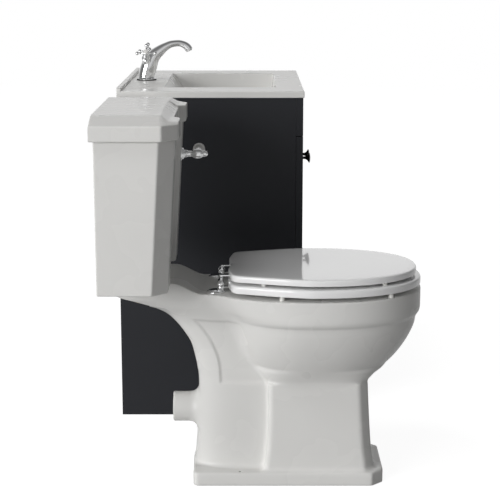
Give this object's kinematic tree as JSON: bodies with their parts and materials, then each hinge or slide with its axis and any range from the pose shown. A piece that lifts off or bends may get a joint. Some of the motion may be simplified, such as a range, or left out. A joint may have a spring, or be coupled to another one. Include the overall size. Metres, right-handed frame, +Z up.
{
  "type": "toilet and vanity set",
  "caption": "Close-coupled toilet with a chamfered cistern, hinged seat and side spigot, beside a dark cabinet with a slab basin and an arched tap with cross handles.",
  "frame": {"origin": "on the floor, under the centre of the whole set", "axes": "+X along the wall from the toilet to the vanity, +Y towards the wall, +Z up"},
  "size_m": [1.235, 0.692, 0.9167],
  "materials": {
    "sanitary_ware": "white vitreous china under a clear gloss glaze",
    "grip_ware": "white glazed ball",
    "seat_white": "white gloss lacquer",
    "chrome": "polished plating",
    "rubber": "black moulded rubber",
    "buffer": "translucent white",
    "brass": "as turned",
    "steel": "zinc plated",
    "valve_plastic": "white moulded plastic",
    "float_plastic": "red moulded plastic",
    "cabinet_paint": "dark grey satin paint on board",
    "knob_black": "black satin lacquer"
  },
  "bodies": {
    "root": {"pan": "sanitary_ware", "pan_rim": "sanitary_ware", "pedestal": "sanitary_ware", "cistern": "sanitary_ware", "basin": "sanitary_ware", "lever_rosette": "chrome", "hinge_pillars": "chrome", "hinge_rod": "chrome", "tap_body": "chrome", "tap_bonnets": "chrome", "tap_nozzle": "chrome", "waste_flange": "chrome", "waste_nut": "chrome", "trap_bottle": "chrome", "trap_outlet": "chrome", "doughnut_seal": "rubber", "coupling_washers": "rubber", "hinge_plugs": "rubber", "tap_base_ring": "rubber", "coupling_bolts": "brass", "coupling_nuts": "brass", "hinge_studs": "steel", "hinge_arms": "steel", "shelf_pins": "steel", "tap_stud": "steel", "siphon": "valve_plastic", "siphon_backnut": "valve_plastic", "lever_backnut": "valve_plastic", "fill_valve": "valve_plastic", "fill_backnut": "valve_plastic", "side_panel_left": "cabinet_paint", "side_panel_right": "cabinet_paint", "base_panel": "cabinet_paint", "back_rail": "cabinet_paint", "lower_rail": "cabinet_paint", "fascia": "cabinet_paint", "kickboard": "cabinet_paint", "shelf": "cabinet_paint"},
    "cistern_lid": {"cistern_lid": "sanitary_ware"},
    "seat_ring": {"seat_ring": "seat_white", "ring_buffers": "buffer", "ring_straps": "chrome"},
    "seat_lid": {"seat_lid": "seat_white", "lid_buffers": "buffer", "lid_straps": "chrome"},
    "flush_lever": {"flush_lever": "chrome", "lever_grip": "grip_ware", "lever_crank": "steel"},
    "lift_rod": {"lift_rod": "steel"},
    "float_arm": {"float_arm": "brass", "float": "float_plastic"},
    "door_left": {"door_left": "cabinet_paint", "knob_left": "knob_black", "hinge_cups_left": "steel"},
    "door_right": {"door_right": "cabinet_paint", "knob_right": "knob_black", "hinge_cups_right": "steel"},
    "waste_plug": {"waste_plug": "chrome"},
    "tap_handle_left": {"tap_handle_left": "chrome"},
    "tap_handle_right": {"tap_handle_right": "chrome"}
  },
  "joints": [
    {"name": "cistern_lid_lift", "type": "slide", "parent": "root", "child": "cistern_lid", "axis": [0, 0, 1], "range_m": [0, 0.12]},
    {"name": "seat_ring_hinge", "type": "hinge", "parent": "root", "child": "seat_ring", "pos_m": [-0.3825, 0.0885, 0.446], "axis": [-1, 0, 0], "range_deg": [0, 90]},
    {"name": "seat_lid_hinge", "type": "hinge", "parent": "seat_ring", "child": "seat_lid", "pos_m": [-0.3825, 0.0885, 0.446], "axis": [1, 0, 0], "range_deg": [-90, 0]},
    {"name": "flush_lever_hinge", "type": "hinge", "parent": "root", "child": "flush_lever", "pos_m": [-0.2275, 0.143, 0.6936], "axis": [0, 1, 0], "range_deg": [0, 25]},
    {"name": "lift_rod_slide", "type": "slide", "parent": "root", "child": "lift_rod", "axis": [0, 0, 1], "range_m": [0, 0.045]},
    {"name": "float_hinge", "type": "hinge", "parent": "root", "child": "float_arm", "pos_m": [-0.2305, 0.3, 0.7056], "axis": [0, 1, 0], "range_deg": [0, 8]},
    {"name": "door_left_hinge", "type": "hinge", "parent": "root", "child": "door_left", "pos_m": [0, -0.086, 0.4], "axis": [0, 0, -1], "range_deg": [0, 105]},
    {"name": "door_right_hinge", "type": "hinge", "parent": "root", "child": "door_right", "pos_m": [0.614, -0.086, 0.4], "axis": [0, 0, 1], "range_deg": [0, 105]},
    {"name": "waste_plug_slide", "type": "slide", "parent": "root", "child": "waste_plug", "axis": [0, 0, 1], "range_m": [0, 0.008]},
    {"name": "tap_handle_left_turn", "type": "hinge", "parent": "root", "child": "tap_handle_left", "pos_m": [0.265, 0.2925, 0.885], "axis": [-0.8192, 0, 0.5736], "range_deg": [0, 90]},
    {"name": "tap_handle_right_turn", "type": "hinge", "parent": "root", "child": "tap_handle_right", "pos_m": [0.349, 0.2925, 0.885], "axis": [0.8192, 0, 0.5736], "range_deg": [0, 90]}
  ],
  "couplings": [
    {"joint": "lift_rod_slide", "follows": "flush_lever_hinge", "m_per_rad": 0.1}
  ]
}
